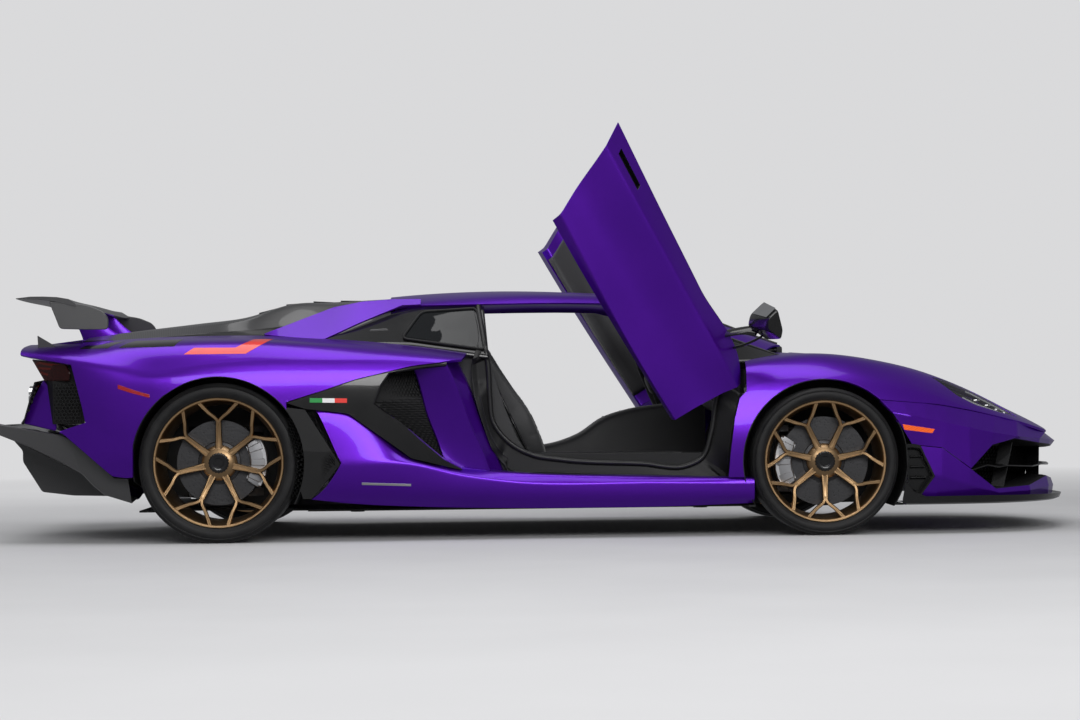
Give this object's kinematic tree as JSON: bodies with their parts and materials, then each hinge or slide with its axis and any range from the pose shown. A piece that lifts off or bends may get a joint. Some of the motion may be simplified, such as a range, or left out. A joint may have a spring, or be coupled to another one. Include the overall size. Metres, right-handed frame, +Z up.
{
  "type": "mid-engined two-seat sports car",
  "caption": "Low wedge-shaped mid-engined sports car with raised scissor doors, rear wing, steered front wheels, lifting bonnet and rolling wheels",
  "frame": {"origin": "on the floor, on the centreline, half way along the car", "axes": "+X forward, +Y to the car's left, +Z up"},
  "size_m": [4.943, 2.4924, 1.8352],
  "materials": {
    "alloy": "bare alloy",
    "body_paint": "deep violet pearl coat",
    "chrome": "bright",
    "disc": "dark ceramic disc",
    "engine": "cast alloy",
    "glass": "dark tinted glass",
    "gloss_black": "black gloss",
    "interior": "black hide",
    "lamp": "clear lamp cover",
    "rim_bronze": "satin gold bronze",
    "satin_black": "satin black",
    "steel": "plain steel",
    "tail_lamp": "red lamp cover",
    "tyre": "black rubber",
    "wing_grey": "woven grey laminate under clear coat"
  },
  "bodies": {
    "chassis": {"arch_liners": "satin_black", "cabin_tub": "wing_grey", "centre_console": "interior", "chassis_rails": "steel", "cowl": "satin_black", "dashboard": "interior", "door_hinges": "steel", "engine_block": "engine", "engine_cover": "wing_grey", "exhaust_pipes": "chrome", "front_bumper": "body_paint", "front_fenders": "body_paint", "front_splitter": "gloss_black", "headlamps": "lamp", "intake_blades": "gloss_black", "intake_fins": "body_paint", "intake_trims": "gloss_black", "luggage_tub": "satin_black", "rear_diffuser": "gloss_black", "rear_fascia": "body_paint", "rear_grille": "satin_black", "rear_knuckles": "alloy", "rear_quarters": "body_paint", "rear_windows": "glass", "rear_wing": "wing_grey", "roof_frame": "body_paint", "seats": "interior", "side_meshes": "satin_black", "side_skirts": "body_paint", "steering_wheel": "interior", "tail_lamps": "tail_lamp", "underbody": "satin_black", "windscreen": "glass", "wishbones": "steel"},
    "door_left": {"door_left": "body_paint", "mirror_left": "body_paint"},
    "knuckle_left": {"front_knuckle_left": "alloy"},
    "wheel_front_left": {"tyre_front_left": "tyre", "rim_front_left": "rim_bronze", "brake_disc_front_left": "disc"},
    "wheel_rear_left": {"tyre_rear_left": "tyre", "rim_rear_left": "rim_bronze", "brake_disc_rear_left": "disc"},
    "door_right": {"door_right": "body_paint", "mirror_right": "body_paint"},
    "knuckle_right": {"front_knuckle_right": "alloy"},
    "wheel_front_right": {"tyre_front_right": "tyre", "rim_front_right": "rim_bronze", "brake_disc_front_right": "disc"},
    "wheel_rear_right": {"tyre_rear_right": "tyre", "rim_rear_right": "rim_bronze", "brake_disc_rear_right": "disc"},
    "bonnet": {"bonnet": "body_paint"}
  },
  "joints": [
    {"name": "door_left_swing", "type": "hinge", "parent": "chassis", "child": "door_left", "pos_m": [0.922, 0.93, 0.638], "axis": [0, -0.9659, 0.2588], "range_deg": [0, 57.8]},
    {"name": "steer_left", "type": "hinge", "parent": "chassis", "child": "knuckle_left", "pos_m": [1.2465, 0.848, 0.3305], "axis": [0, 0, 1], "range_deg": [-30, 30]},
    {"name": "wheel_front_left_spin", "type": "hinge", "parent": "knuckle_left", "child": "wheel_front_left", "pos_m": [1.2465, 0.86, 0.3305], "axis": [0, 1, 0], "continuous": true},
    {"name": "wheel_rear_left_spin", "type": "hinge", "parent": "chassis", "child": "wheel_rear_left", "pos_m": [-1.4535, 0.852, 0.3555], "axis": [0, 1, 0], "continuous": true},
    {"name": "door_right_swing", "type": "hinge", "parent": "chassis", "child": "door_right", "pos_m": [0.922, -0.93, 0.638], "axis": [0, -0.9659, -0.2588], "range_deg": [0, 57.8]},
    {"name": "steer_right", "type": "hinge", "parent": "chassis", "child": "knuckle_right", "pos_m": [1.2465, -0.848, 0.3305], "axis": [0, 0, 1], "range_deg": [-30, 30]},
    {"name": "wheel_front_right_spin", "type": "hinge", "parent": "knuckle_right", "child": "wheel_front_right", "pos_m": [1.2465, -0.86, 0.3305], "axis": [0, 1, 0], "continuous": true},
    {"name": "wheel_rear_right_spin", "type": "hinge", "parent": "chassis", "child": "wheel_rear_right", "pos_m": [-1.4535, -0.852, 0.3555], "axis": [0, 1, 0], "continuous": true},
    {"name": "bonnet_lift", "type": "hinge", "parent": "chassis", "child": "bonnet", "pos_m": [1.146, 0, 0.786], "axis": [0, -1, 0], "range_deg": [0, 42]}
  ],
  "couplings": [
    {"joint": "steer_right", "follows": "steer_left", "ratio": 1}
  ]
}
